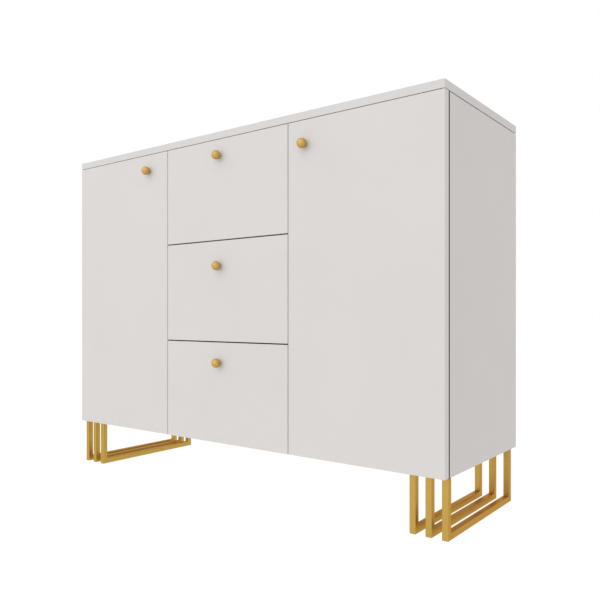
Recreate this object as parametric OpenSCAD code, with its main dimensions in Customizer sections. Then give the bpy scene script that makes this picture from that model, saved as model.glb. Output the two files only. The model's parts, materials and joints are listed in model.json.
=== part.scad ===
// Sideboard with two hinged doors, three drawers and six U-shaped leg frames.
// Millimetres, +Z up, fronts towards -Y, origin on the floor under the middle of the whole.

/* [Cabinet] */
// Overall width
cabinet_w = 1200; // [1100:10:1400]
// Overall height above the floor
cabinet_h = 914; // [890:2:960]
// Depth from the front faces to the back edge, without the knobs
cabinet_d = 409; // [405:1:460]
// Thickness of the boards and fronts
board_t = 18; // [18:1:19]
// Thickness of the back panel
back_t = 3; // [3:1:5]
// Gap between drawer fronts, and between the fronts and the carcass
front_gap = 3; // [3:0.5:4]
// Width of the upright seams between the doors and the drawers
seam_gap = 2; // [2:0.5:4]
// Height of the gap between the fronts and the top
shadow_gap = 1.5; // [1:0.5:2.5]
// Height of the shadow line between the sides and the top
side_shadow_gap = 2.5; // [1:0.5:3]
// Distance between the middles of the two dividers
divider_pitch = 416; // [400:2:440]

/* [Legs] */
// Height of the cabinet's underside above the floor
leg_h = 125; // [110:1:150]
// Outer width of the square tube
tube_w = 14; // [12:1:18]
// Wall thickness of the tube
tube_wall = 1.5; // [1:0.5:2]
// Distance between neighbouring leg frames
leg_pitch = 36; // [30:1:40]
// Thickness of the mounting plates on top of the leg frames
leg_plate_t = 3; // [2:1:4]
// Distance from the front faces to the leg frames
leg_front_setback = 16; // [16:1:40]
// Distance from the back edge to the leg frames
leg_rear_setback = 35; // [20:1:60]

/* [Shelves] */
// Gap between a shelf's end and the board beside it
shelf_gap = 1; // [1:0.5:2]
// Distance from the front of the carcass to a shelf's front edge
shelf_setback = 20; // [10:1:40]
// Pitch of the rows of shelf pin holes
pin_pitch = 32; // [25:1:40]
// Radius of a shelf pin
pin_r = 2.5; // [2.5:0.5:3]

/* [Drawers] */
// Length of the drawer box behind its front
box_l = 350; // [300:10:360]
// Height of the drawer box
box_h = 170; // [120:5:180]
// Thickness of the drawer box's sides and back
box_t = 12; // [12:1:15]
// Thickness of the drawer bottom
box_bottom_t = 3; // [3:1:5]

/* [Knobs] */
// Radius of the ball
knob_r = 11.5; // [10:0.5:12.5]
// Distance that a knob stands out from its front
knob_projection = 24; // [24:1:34]
// Distances from a drawer front's top edge down to its knob: bottom, middle and top drawer
drawer_knob_drops = [51.5, 63.5, 42]; // [40:0.5:70]
// Distances from a door's top edge down to its knob: left and right door
door_knob_drops = [45.5, 55.5]; // [40:0.5:80]
// Distances from a door's free edge to its knob: left and right door
door_knob_insets = [75, 48]; // [40:1:80]
// Distance from the middle of the drawer fronts to their knobs, positive to the right
drawer_knob_x = -13; // [-20:1:20]

/* [Hinges] */
// Distance from a door's top or bottom edge to a hinge
hinge_inset = 90; // [80:1:120]
// Distance from the pivot to the outer edge of the door
pivot_inset = 7.5; // [7.5:0.1:7.6]
// Depth of the pivot below the door's back face
pivot_depth = 9; // [8.9:0.1:9]

/* [Hidden] */
$fn = 48;
eps = 0.5;
lacquer_colour = "#ddd9d5";
gold_colour = "#bb9949";
steel_colour = "#b9bdc1";
grey_colour = "#c9c7c4";
clear_colour = "#e8ecee";

// Main planes of the carcass
half_w = cabinet_w / 2;
side_x = half_w - board_t;
total_d = cabinet_d + knob_projection;
back_y = total_d / 2;
front_y = back_y - cabinet_d;
front_back_y = front_y + board_t;
carcass_y = front_back_y + front_gap;
panel_back_y = back_y - back_t;
top_z = cabinet_h - board_t;
floor_z = leg_h + board_t;
divider_x = divider_pitch / 2;
divider_in = divider_x - board_t / 2;
divider_out = divider_x + board_t / 2;
fronts_top = top_z - shadow_gap;
front_h = (fronts_top - leg_h - 2 * front_gap) / 3;
side_shadow_z = top_z - side_shadow_gap;
shadow_d = 4;
rabbet_w = 10;
rabbet_up = 8;

// Leg frames
leg_y = [front_y + leg_front_setback, back_y - leg_rear_setback];
leg_top = leg_h - leg_plate_t;
door_relief = 1;
plate_x = [side_x - 92, half_w - 6];
plate_y = [[leg_y[0] + tube_w, leg_y[0] + tube_w + 30], [leg_y[1] - tube_w - 30, leg_y[1] - tube_w]];
leg_screw_x = [plate_x[0] + 15, plate_x[0] + 70];
leg_screw_y = [leg_y[0] + tube_w + 15, leg_y[1] - tube_w - 15];
leg_screw_r = 2;
leg_screw_l = 15;

// Shelves and their pins
shelf_zs = [leg_h + front_h + front_gap - 0.5, leg_h + 2 * (front_h + front_gap) - 1];
shelf_y = [carcass_y + shelf_setback, panel_back_y - 7];
pin_ys = [carcass_y + 37, panel_back_y - 57];
pin_out = 8;
pin_bore = 10;

// Cam locks and their bolts
cam_r = 7.4;
cam_h = 12;
cam_room = 0.1;
bolt_r = 3;
bolt_hold = 10;
cam_offset = 34;
cam_ys = [-100, 20, 120];

// Concealed hinges, as distances from the right-hand door's planes
hinge_zs = [leg_h + hinge_inset, fronts_top - hinge_inset];
pivot = [half_w - pivot_inset, front_back_y - pivot_depth];
cup_r = 17.4;
cup_bore_r = 17.5;
cup_wall = 0.6;
cup_floor = 0.8;
cup_depth = 12.1;
cup_x = half_w - 3 - cup_bore_r;
cup_flange_t = 1;
cup_screw_x = cup_x - 9.5;
cup_screw_z = 22.5;
hinge_pin_r = 1;
hinge_pin_half = 11.3;
arm_x = [side_x - 12, side_x - 3];
arm_y = [front_back_y + 8, front_back_y + 71];
arm_half = 7;
plate_screw_y = front_back_y + 40;
plate_screw_z = 16;
euro_r = 3;
euro_l = 10;
euro_head_r = 3.75;
euro_head_h = 2;

// Drawers and their three-part slides
slide_t = 12.7;
sheet_t = 1.2;
box_x = divider_in - slide_t;
box_rise = 30;
box_back_y = front_back_y + box_l;
bottom_rise = 10;
groove_d = 5.5;
rail_rise = 60;
rail_half_h = 22.5;
rail_screw_ys = [front_back_y + 21, front_back_y + 151, front_back_y + 291];
outer_rail_y = [front_back_y + 6, box_back_y + 6];
mid_rail_y = [front_back_y + 11, box_back_y + 1];
inner_rail_y = [front_back_y + 2, box_back_y];
ball_room = 0.3;

// Knobs and their screws
ball_y = knob_projection - knob_r;
neck_r = 4;
screw_r = 2;
screw_head_r = 4;
screw_head_h = 2.5;
screw_l = 32;

// Height of the lower edge of drawer front number 0, 1 or 2, counted from the bottom
function front_z(row) = leg_h + row * (front_h + front_gap);
function box_z(row) = front_z(row) + box_rise;
function rail_z(row) = box_z(row) + rail_rise;
function drawer_knob_z(row) = front_z(row) + front_h - drawer_knob_drops[row];
function door_knob_z(side) = fronts_top - door_knob_drops[side < 0 ? 0 : 1];
function door_knob_x(side) = divider_x + seam_gap / 2 + door_knob_insets[side < 0 ? 0 : 1];
function leg_x(place) = half_w - tube_w - place * leg_pitch;

// Helpers
module block(low, high) {
    translate(low) cube(high - low);
}

module rod_x(r, from, to) {
    translate([from, 0, 0]) rotate([0, 90, 0]) cylinder(r = r, h = to - from);
}

module rod_y(r, from, to) {
    translate([0, from, 0]) rotate([-90, 0, 0]) cylinder(r = r, h = to - from);
}

module rod_z(r, from, to) {
    translate([0, 0, from]) cylinder(r = r, h = to - from);
}

// Draws its children on the right, or mirrored on the left when side is -1
module on_side(side) {
    if (side < 0) {
        mirror([1, 0, 0]) children();
    } else {
        children();
    }
}

module both_sides() {
    for (side = [-1, 1]) on_side(side) children();
}

// Places of the fasteners
module at_cams_upper(x) {
    for (y = cam_ys) translate([x, y, top_z - cam_offset]) children();
}

module at_cams_lower() {
    for (y = cam_ys) translate([divider_out, y, floor_z + cam_offset]) children();
}

module at_cams_under() {
    for (y = cam_ys) translate([side_x - cam_offset, y, leg_h]) children();
}

module at_hinges() {
    for (z = hinge_zs) translate([0, 0, z]) children();
}

module at_plate_screws() {
    at_hinges() for (z = [-plate_screw_z, plate_screw_z]) translate([side_x, plate_screw_y, z]) children();
}

module at_rail_screws(row) {
    for (y = rail_screw_ys) translate([divider_in, y, rail_z(row)]) children();
}

module at_leg_screws() {
    for (x = leg_screw_x, y = leg_screw_y) translate([x, y, leg_h]) children();
}

module pin_holes(x, from, to) {
    for (z = shelf_zs, step = [-2:2], y = pin_ys)
        translate([x, y, z - pin_r + step * pin_pitch]) rod_x(pin_r, from, to);
}

// Vertical bores for the bolts that stand in the end of a board
module upper_bolt_bores(x) {
    for (y = cam_ys) translate([x, y, 0]) rod_z(bolt_r, top_z - cam_offset, top_z + bolt_hold);
}

// Carcass
module top_panel() {
    color(lacquer_colour) difference() {
        block([-half_w, front_y, top_z], [half_w, back_y, cabinet_h]);
        block([-side_x - rabbet_w, panel_back_y, top_z - eps],
              [side_x + rabbet_w, back_y + eps, top_z + rabbet_up]);
        both_sides() {
            upper_bolt_bores(side_x + board_t / 2);
            upper_bolt_bores(divider_x);
        }
    }
}

module side_panel(side) {
    color(lacquer_colour) on_side(side) difference() {
        block([side_x, carcass_y, leg_h], [half_w, back_y, top_z]);
        block([half_w - shadow_d, carcass_y - eps, side_shadow_z], [half_w + eps, back_y + eps, top_z + eps]);
        block([side_x - eps, panel_back_y, leg_h - eps], [side_x + rabbet_w, back_y + eps, top_z + eps]);
        upper_bolt_bores(side_x + board_t / 2);
        at_cams_upper(side_x) rod_x(cam_r + cam_room, -eps, cam_h + 0.5);
        at_plate_screws() rod_x(euro_r, -eps, euro_l);
        for (y = cam_ys) translate([side_x, y, leg_h + board_t / 2]) rod_x(bolt_r, -eps, bolt_hold);
        pin_holes(side_x, -eps, pin_bore);
    }
}

module divider(side) {
    color(lacquer_colour) on_side(side) difference() {
        block([divider_in, carcass_y, floor_z], [divider_out, panel_back_y, top_z]);
        upper_bolt_bores(divider_x);
        for (y = cam_ys) translate([divider_x, y, 0]) rod_z(bolt_r, floor_z - eps, floor_z + cam_offset);
        at_cams_upper(divider_out) rod_x(cam_r + cam_room, -cam_h - 0.5, eps);
        at_cams_lower() rod_x(cam_r + cam_room, -cam_h - 0.5, eps);
        for (row = [0:2]) at_rail_screws(row) rod_x(euro_r, -eps, euro_l);
        pin_holes(divider_out, -pin_bore, eps);
    }
}

module bottom_panel() {
    color(lacquer_colour) difference() {
        block([-side_x, carcass_y, leg_h], [side_x, panel_back_y, floor_z]);
        both_sides() {
            at_cams_under() rod_z(cam_r + cam_room, -eps, cam_h + 0.5);
            for (y = cam_ys) {
                translate([side_x, y, leg_h + board_t / 2]) rod_x(bolt_r, -cam_offset, eps);
                translate([divider_x, y, floor_z]) rod_z(bolt_r, -bolt_hold, eps);
            }
            at_leg_screws() rod_z(leg_screw_r, -eps, leg_screw_l);
        }
    }
}

module back_panel() {
    color(lacquer_colour)
        block([-side_x - rabbet_w, panel_back_y, leg_h + 1], [side_x + rabbet_w, back_y, top_z + rabbet_up]);
}

module shelf(side, level) {
    color(lacquer_colour) on_side(side)
        block([divider_out + shelf_gap, shelf_y[0], shelf_zs[level]],
              [side_x - shelf_gap, shelf_y[1], shelf_zs[level] + board_t]);
}

module shelf_pins() {
    color(steel_colour) both_sides() for (z = shelf_zs, y = pin_ys) {
        translate([side_x, y, z - pin_r]) rod_x(pin_r, -pin_out, pin_bore - 1);
        translate([divider_out, y, z - pin_r]) rod_x(pin_r, 1 - pin_bore, pin_out);
    }
}

// Leg frames: a square tube bent into a U, numbered from the outside
module leg_frame(side, place) {
    x = leg_x(place);
    color(gold_colour) on_side(side) difference() {
        block([x, leg_y[0], 0], [x + tube_w, leg_y[1], leg_h]);
        block([x - eps, leg_y[0] + tube_w, tube_w], [x + tube_w + eps, leg_y[1] - tube_w, leg_h + eps]);
        block([x - eps, leg_y[0] - eps, leg_h - door_relief], [x + tube_w + eps, carcass_y, leg_h + eps]);
        for (y = [leg_y[0] + tube_wall, leg_y[1] - tube_w + tube_wall])
            block([x + tube_wall, y, tube_wall],
                  [x + tube_w - tube_wall, y + tube_w - 2 * tube_wall, leg_h + eps]);
        block([x + tube_wall, leg_y[0] + tube_wall, tube_wall],
              [x + tube_w - tube_wall, leg_y[1] - tube_wall, tube_w - tube_wall]);
    }
}

module leg_plates() {
    color(gold_colour) both_sides() difference() {
        for (y = plate_y) block([plate_x[0], y[0], leg_top], [plate_x[1], y[1], leg_h]);
        at_leg_screws() rod_z(leg_screw_r + 0.2, -leg_plate_t - eps, eps);
    }
}

module leg_screws() {
    color(gold_colour) both_sides() at_leg_screws() {
        rod_z(screw_head_r, -leg_plate_t - screw_head_h, -leg_plate_t);
        rod_z(leg_screw_r, -leg_plate_t - eps, leg_screw_l - 1);
    }
}

// Carcass fasteners
module cam_locks() {
    color(steel_colour) both_sides() {
        at_cams_upper(side_x) rod_x(cam_r, 0, cam_h);
        at_cams_upper(divider_out) rod_x(cam_r, -cam_h, 0);
        at_cams_lower() rod_x(cam_r, -cam_h, 0);
        at_cams_under() rod_z(cam_r, 0, cam_h);
    }
}

module cam_bolts() {
    reach = cam_offset - cam_r - 2 * cam_room;
    color(steel_colour) both_sides() for (y = cam_ys) {
        for (x = [side_x + board_t / 2, divider_x])
            translate([x, y, top_z]) rod_z(bolt_r, -reach, bolt_hold);
        translate([divider_x, y, floor_z]) rod_z(bolt_r, -bolt_hold, reach);
        translate([side_x, y, leg_h + board_t / 2]) rod_x(bolt_r, -reach, bolt_hold);
    }
}

module euro_screws() {
    plate_t = side_x - arm_x[1];
    color(steel_colour) both_sides() {
        at_plate_screws() {
            rod_x(euro_r, -plate_t, euro_l - 0.5);
            rod_x(euro_head_r, -plate_t - euro_head_h, -plate_t);
        }
        for (row = [0:2]) at_rail_screws(row) {
            rod_x(euro_r, -sheet_t, euro_l - 0.5);
            rod_x(euro_head_r, -sheet_t - euro_head_h, -sheet_t);
        }
    }
}

module door_bumpers() {
    color(clear_colour) both_sides() for (z = [floor_z + 17, top_z - 36])
        translate([divider_out - 3.7, carcass_y, z]) rod_y(3.5, 0.3 - front_gap, 0);
}

// Concealed hinges: the arm is fixed to the side panel, and the door turns on the pin in its cup
module hinge_arms(side) {
    link_t = 2.4;
    link_x = [cup_x - 4, cup_x - 1];
    color(steel_colour) on_side(side) at_hinges() {
        difference() {
            union() {
                translate([pivot[0], pivot[1], 0]) rod_z(2, -5, 5);
                block([link_x[0], pivot[1] - link_t / 2, -4], [pivot[0], pivot[1] + link_t / 2, 4]);
                block([link_x[0], pivot[1] - link_t / 2, -4], [link_x[1], arm_y[0] + 3, 4]);
                block([arm_x[0], arm_y[0], -arm_half], [arm_x[1], arm_y[1], arm_half]);
            }
            translate([pivot[0], pivot[1], 0]) rod_z(hinge_pin_r + 0.05, -6, 6);
            block([arm_x[0] + 1.5, arm_y[0] + 5, 1.5 - arm_half],
                  [arm_x[1] + eps, arm_y[1] + eps, arm_half - 1.5]);
            translate([arm_x[0], arm_y[1] - 20, 0]) rod_x(2.5, -eps, 2);
        }
        translate([arm_x[0], arm_y[1] - 20, 0]) {
            rod_x(2.4, -0.2, arm_x[1] - arm_x[0]);
            rod_x(3.5, -1.2, -0.1);
        }
    }
}

module hinge_plates() {
    color(steel_colour) both_sides() difference() {
        at_hinges() {
            block([arm_x[1], arm_y[0] + 3, 1 - arm_half], [side_x, arm_y[1], arm_half - 1]);
            block([arm_x[1], plate_screw_y - 10, -plate_screw_z - 6],
                  [side_x, plate_screw_y + 10, plate_screw_z + 6]);
        }
        at_plate_screws() rod_x(euro_r, -4, eps);
    }
}

// Doors, drawn as the right-hand door
module door(side) {
    color(lacquer_colour) on_side(side) difference() {
        block([divider_x + seam_gap / 2, front_y, leg_h], [half_w, front_back_y, fronts_top]);
        at_hinges() {
            translate([cup_x, front_back_y, 0]) rod_y(cup_bore_r, -cup_depth - 0.1, eps);
            for (z = [-cup_screw_z, cup_screw_z])
                translate([cup_screw_x, front_back_y, z]) rod_y(1.75, -12.2, eps);
        }
        translate([door_knob_x(side), front_back_y, door_knob_z(side)])
            rod_y(screw_r + 0.25, -board_t - eps, eps);
    }
}

module hinge_cups(side) {
    color(steel_colour) on_side(side) at_hinges() {
        difference() {
            union() {
                translate([cup_x, front_back_y, 0]) rod_y(cup_r, -cup_depth, cup_flange_t);
                translate([cup_x, front_back_y, 0]) rod_y(cup_r + 1, 0, cup_flange_t);
                block([cup_screw_x - 6.5, front_back_y, -cup_screw_z - 6],
                      [cup_screw_x + 6.5, front_back_y + cup_flange_t, cup_screw_z + 6]);
            }
            translate([cup_x, front_back_y, 0])
                rod_y(cup_r - cup_wall, cup_floor - cup_depth, cup_flange_t + eps);
            for (z = [-cup_screw_z, cup_screw_z])
                translate([cup_screw_x, front_back_y, z]) rod_y(1.9, -eps, cup_flange_t + eps);
        }
        translate([pivot[0], pivot[1], 0]) rod_z(hinge_pin_r, -hinge_pin_half, hinge_pin_half);
    }
}

module cup_screws(side) {
    color(steel_colour) on_side(side) at_hinges() for (z = [-cup_screw_z, cup_screw_z])
        translate([cup_screw_x, front_back_y, z]) {
            rod_y(1.75, -12, cup_flange_t);
            rod_y(3.5, cup_flange_t, cup_flange_t + 1.5);
        }
}

// A turned ball knob on the front at y = 0, with its screw from behind
module knob() {
    color(gold_colour) {
        rotate([90, 0, 0]) rotate_extrude() difference() {
            intersection() {
                union() {
                    translate([0, ball_y]) circle(r = knob_r);
                    square([neck_r, ball_y]);
                }
                square([knob_r, knob_projection]);
            }
            translate([-eps, -eps]) square([screw_r + eps, screw_l - board_t + 1]);
        }
        rod_y(screw_r, board_t - screw_l, board_t);
        rod_y(screw_head_r, board_t, board_t + screw_head_h);
    }
}

module door_knob(side) {
    on_side(side) translate([door_knob_x(side), front_y, door_knob_z(side)]) knob();
}

module drawer_knob(row) {
    translate([drawer_knob_x, front_y, drawer_knob_z(row)]) knob();
}

// Drawers
module drawer_front(row) {
    x = divider_x - seam_gap / 2;
    color(lacquer_colour) difference() {
        block([-x, front_y, front_z(row)], [x, front_back_y, front_z(row) + front_h]);
        translate([drawer_knob_x, front_back_y, drawer_knob_z(row)])
            rod_y(screw_r + 0.25, -board_t - eps, eps);
    }
}

module drawer_sides(row) {
    z = box_z(row);
    color(grey_colour) both_sides() difference() {
        block([box_x - box_t, front_back_y, z], [box_x, box_back_y, z + box_h]);
        block([box_x - box_t - eps, front_back_y - eps, z + bottom_rise],
              [box_x - box_t + groove_d, box_back_y + eps, z + bottom_rise + box_bottom_t]);
    }
}

module drawer_back(row) {
    x = box_x - box_t;
    color(grey_colour)
        block([-x, box_back_y - box_t, box_z(row) + bottom_rise + box_bottom_t],
              [x, box_back_y, box_z(row) + box_h]);
}

module drawer_base(row) {
    x = box_x - box_t + groove_d;
    color(grey_colour)
        block([-x, front_back_y, box_z(row) + bottom_rise],
              [x, box_back_y, box_z(row) + bottom_rise + box_bottom_t]);
}

// One C-shaped slide member, with its web at web_x and its lips reaching to lip_x
module rail(web_x, lip_x, half_h, ys) {
    low_x = min(web_x, lip_x);
    high_x = max(web_x + sheet_t, lip_x);
    block([web_x, ys[0], -half_h], [web_x + sheet_t, ys[1], half_h]);
    for (z = [-half_h, half_h - sheet_t]) block([low_x, ys[0], z], [high_x, ys[1], z + sheet_t]);
}

// The strip of balls that runs between two members
module ball_strip(xs, ys, from, to) {
    for (z = [from, -to]) block([xs[0], ys[0], z], [xs[1], ys[1], z + to - from]);
}

module rails_outer(row) {
    color(steel_colour) both_sides() difference() {
        translate([0, 0, rail_z(row)])
            rail(divider_in - sheet_t, box_x + 2, rail_half_h, outer_rail_y);
        at_rail_screws(row) rod_x(euro_r, -2 * sheet_t, eps);
    }
}

module rails_mid(row) {
    half = rail_half_h - 3.3;
    color(steel_colour) both_sides() translate([0, 0, rail_z(row)]) {
        rail(divider_in - 5.4, box_x + 2.3, half, mid_rail_y);
        ball_strip([box_x + 3.7, box_x + 6.7], mid_rail_y, half, rail_half_h - sheet_t - ball_room);
    }
}

module rails_inner(row) {
    half = rail_half_h - 6.3;
    color(steel_colour) both_sides() translate([0, 0, rail_z(row)]) {
        rail(box_x, box_x + 6.5, half, inner_rail_y);
        ball_strip([box_x + 3, box_x + 6], inner_rail_y, half, rail_half_h - 3.3 - sheet_t - ball_room);
    }
}

top_panel();
side_panel(-1);  // side_panel_left
side_panel(1);  // side_panel_right
divider(-1);  // divider_left
divider(1);  // divider_right
bottom_panel();
back_panel();
shelf(-1, 0);  // shelf_left_lower
shelf(-1, 1);  // shelf_left_upper
shelf(1, 0);  // shelf_right_lower
shelf(1, 1);  // shelf_right_upper
shelf_pins();
leg_frame(-1, 0);  // leg_left_outer
leg_frame(-1, 1);  // leg_left_middle
leg_frame(-1, 2);  // leg_left_inner
leg_frame(1, 2);  // leg_right_inner
leg_frame(1, 1);  // leg_right_middle
leg_frame(1, 0);  // leg_right_outer
leg_plates();
leg_screws();
hinge_arms(-1);  // hinge_arms_left
hinge_arms(1);  // hinge_arms_right
hinge_plates();
euro_screws();
cam_locks();
cam_bolts();
door_bumpers();
door(-1);  // door_left
hinge_cups(-1);  // door_left_hinge_cups
cup_screws(-1);  // door_left_cup_screws
door_knob(-1);  // door_left_knob
door(1);  // door_right
hinge_cups(1);  // door_right_hinge_cups
cup_screws(1);  // door_right_cup_screws
door_knob(1);  // door_right_knob
drawer_front(0);  // drawer_bottom_front
drawer_sides(0);  // drawer_bottom_sides
drawer_back(0);  // drawer_bottom_back
drawer_base(0);  // drawer_bottom_base
drawer_knob(0);  // drawer_bottom_knob
rails_inner(0);  // drawer_bottom_rails_inner
rails_mid(0);  // drawer_bottom_rails_mid
rails_outer(0);  // drawer_bottom_rails_outer
drawer_front(1);  // drawer_middle_front
drawer_sides(1);  // drawer_middle_sides
drawer_back(1);  // drawer_middle_back
drawer_base(1);  // drawer_middle_base
drawer_knob(1);  // drawer_middle_knob
rails_inner(1);  // drawer_middle_rails_inner
rails_mid(1);  // drawer_middle_rails_mid
rails_outer(1);  // drawer_middle_rails_outer
drawer_front(2);  // drawer_top_front
drawer_sides(2);  // drawer_top_sides
drawer_back(2);  // drawer_top_back
drawer_base(2);  // drawer_top_base
drawer_knob(2);  // drawer_top_knob
rails_inner(2);  // drawer_top_rails_inner
rails_mid(2);  // drawer_top_rails_mid
rails_outer(2);  // drawer_top_rails_outer
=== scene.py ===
"""Looks for the sideboard: laminate boards, satin gold legs and knobs, and the hardware inside."""

import json
import math

import bmesh
import bpy
from mathutils import Matrix, Vector


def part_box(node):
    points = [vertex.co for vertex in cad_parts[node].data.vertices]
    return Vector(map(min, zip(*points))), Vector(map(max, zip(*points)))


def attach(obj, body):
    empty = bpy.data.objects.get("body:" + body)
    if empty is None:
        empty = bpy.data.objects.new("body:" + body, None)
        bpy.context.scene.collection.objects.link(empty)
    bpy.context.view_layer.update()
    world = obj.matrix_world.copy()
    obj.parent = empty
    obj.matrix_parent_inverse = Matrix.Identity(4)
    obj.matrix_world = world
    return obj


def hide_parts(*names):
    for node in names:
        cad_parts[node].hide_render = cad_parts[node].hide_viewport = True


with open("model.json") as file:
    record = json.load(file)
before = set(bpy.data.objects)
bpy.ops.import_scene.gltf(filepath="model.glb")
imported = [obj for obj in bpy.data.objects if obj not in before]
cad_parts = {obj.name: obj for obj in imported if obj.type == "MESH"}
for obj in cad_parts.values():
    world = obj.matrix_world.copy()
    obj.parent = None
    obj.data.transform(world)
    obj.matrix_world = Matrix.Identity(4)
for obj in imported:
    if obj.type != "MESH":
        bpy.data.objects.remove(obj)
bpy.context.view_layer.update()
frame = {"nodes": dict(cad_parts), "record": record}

MM = 0.001
SIDES = {"left": -1, "right": 1}
ROWS = ("bottom", "middle", "top")
CABINET = "cabinet"
IDENTITY = Matrix.Identity(4)

# Angles in degrees up to which an edge is shaded smooth: on turned and pressed metal, and on boards
SMOOTH_UP_TO = 35
BOARD_SMOOTH_UP_TO = 40


# ---------------------------------------------------------------- outlines and meshes


# The most of a side's length that the arc at one of its ends takes up
ARC_SHARE = 0.49

# Flats around turned shapes: knobs, cups and the floor; bores and discs; screws and shelf pins; thin pins
WIDE_FLATS, DISC_FLATS, SCREW_FLATS, THIN_FLATS = 96, 40, 32, 24


def fillet(points, radii, steps=5, closed=False):
    """A 2-D outline with each corner turned into an arc of its radius, or of one radius for all."""
    count = len(points)
    if not isinstance(radii, (list, tuple)):
        radii = [radii] * count
    out = []
    for i, point in enumerate(points):
        here = Vector(point)
        inner = closed or 0 < i < count - 1
        if radii[i] <= 0 or not inner:
            out.append(here)
            continue
        before = Vector(points[i - 1]) - here
        after = Vector(points[(i + 1) % count]) - here
        half = before.angle(after) / 2
        reach = min(radii[i] / math.tan(half), before.length * ARC_SHARE, after.length * ARC_SHARE)
        radius = reach * math.tan(half)
        bisector = (before.normalized() + after.normalized()).normalized()
        centre = here + bisector * (radius / math.sin(half))
        start = here + before.normalized() * reach - centre
        turn = start.angle_signed(here + after.normalized() * reach - centre)
        for k in range(steps + 1):
            out.append(centre + Matrix.Rotation(-turn * k / steps, 2) @ start)
    return out


def as_mesh(name, bm):
    """Turns a bmesh into a mesh."""
    mesh = bpy.data.meshes.new(name)
    bm.to_mesh(mesh)
    bm.free()
    return mesh


def as_bmesh(mesh):
    """Turns a mesh into a bmesh."""
    bm = bmesh.new()
    bm.from_mesh(mesh)
    bpy.data.meshes.remove(mesh)
    return bm


def finish_mesh(name, bm, material, sharp=SMOOTH_UP_TO):
    """Turns a bmesh into an object, smooth up to an angle in degrees and with flat faces kept flat."""
    bmesh.ops.recalc_face_normals(bm, faces=bm.faces)
    mesh = as_mesh(name, bm)
    for polygon in mesh.polygons:
        polygon.use_smooth = True
    mesh.set_sharp_from_angle(angle=math.radians(sharp))
    mesh.materials.append(material)
    piece = bpy.data.objects.new(name, mesh)
    bpy.context.scene.collection.objects.link(piece)
    weighted = piece.modifiers.new("weighted", "WEIGHTED_NORMAL")
    weighted.keep_sharp = True
    return piece


def hand_in(piece, body, slot, *nodes):
    """Says what a piece rides on and which CAD nodes it stands for; its slot, which would say where its
    finish comes from, is not used.
    """
    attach(piece, body)
    if nodes:
        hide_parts(*nodes)


def bridge(bm, ring_a, ring_b):
    """Quads between two closed rings of the same length."""
    count = len(ring_a)
    for i in range(count):
        j = (i + 1) % count
        bm.faces.new((ring_a[i], ring_a[j], ring_b[j], ring_b[i]))


def lathe(bm, profile, place, flats):
    """Revolves (height, radius) points about local Z, closed at both ends by points on the axis."""
    rings = []
    for height, radius in profile:
        if radius == 0:
            rings.append([bm.verts.new(place @ Vector((0, 0, height)))])
            continue
        ring = []
        for k in range(flats):
            angle = 2 * math.pi * k / flats
            spot = Vector((radius * math.cos(angle), radius * math.sin(angle), height))
            ring.append(bm.verts.new(place @ spot))
        rings.append(ring)
    for ring_a, ring_b in zip(rings, rings[1:]):
        if len(ring_a) == 1 or len(ring_b) == 1:
            tip, ring = (ring_a[0], ring_b) if len(ring_a) == 1 else (ring_b[0], ring_a)
            for k in range(flats):
                bm.faces.new((tip, ring[k], ring[(k + 1) % flats]))
        else:
            bridge(bm, ring_a, ring_b)


def prism(bm, outline, low, high, place):
    """Extrudes a closed 2-D outline along local Z."""
    bottom = [bm.verts.new(place @ Vector((p[0], p[1], low))) for p in outline]
    top = [bm.verts.new(place @ Vector((p[0], p[1], high))) for p in outline]
    bm.faces.new(bottom[::-1])
    bm.faces.new(top)
    bridge(bm, bottom, top)


def plain_box(bm, low, high):
    """A sharp-edged box, for a cutter or for rounding; returns its corners."""
    corners = bmesh.ops.create_cube(bm, size=1.0)["verts"]
    for vert in corners:
        vert.co = Vector(low[i] + (vert.co[i] + 0.5) * (high[i] - low[i]) for i in range(3))
    return corners


def rounded_box(bm, low, high, radius, steps=3):
    """A box with every edge rounded."""
    corners = plain_box(bm, low, high)
    edges = list(dict.fromkeys(edge for vert in corners for edge in vert.link_edges))
    bmesh.ops.bevel(bm, geom=edges, offset=radius, segments=steps, profile=0.5, affect="EDGES")


def axis_place(point, direction):
    """A matrix whose local Z runs along direction from point."""
    turn = Vector((0, 0, 1)).rotation_difference(Vector(direction))
    return Matrix.Translation(Vector(point)) @ turn.to_matrix().to_4x4()


def cut(name, body, cutter):
    """body minus cutter, two bmeshes, as a new mesh."""
    objects = []
    for bm in (body, cutter):
        bmesh.ops.recalc_face_normals(bm, faces=bm.faces)
        obj = bpy.data.objects.new(name, as_mesh(name, bm))
        bpy.context.scene.collection.objects.link(obj)
        objects.append(obj)
    modifier = objects[0].modifiers.new("cut", "BOOLEAN")
    modifier.operation = "DIFFERENCE"
    modifier.solver = "EXACT"
    modifier.use_self = True
    modifier.object = objects[1]
    bpy.context.view_layer.update()
    evaluated = objects[0].evaluated_get(bpy.context.evaluated_depsgraph_get())
    result = bpy.data.meshes.new_from_object(evaluated)
    for obj in objects:
        bpy.data.objects.remove(obj)
    return result


# Corners are matched and sorted on a grid with this many steps to the metre
GRID = 1e5


def on_grid(point):
    return tuple(round(c * GRID) for c in point)


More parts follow.
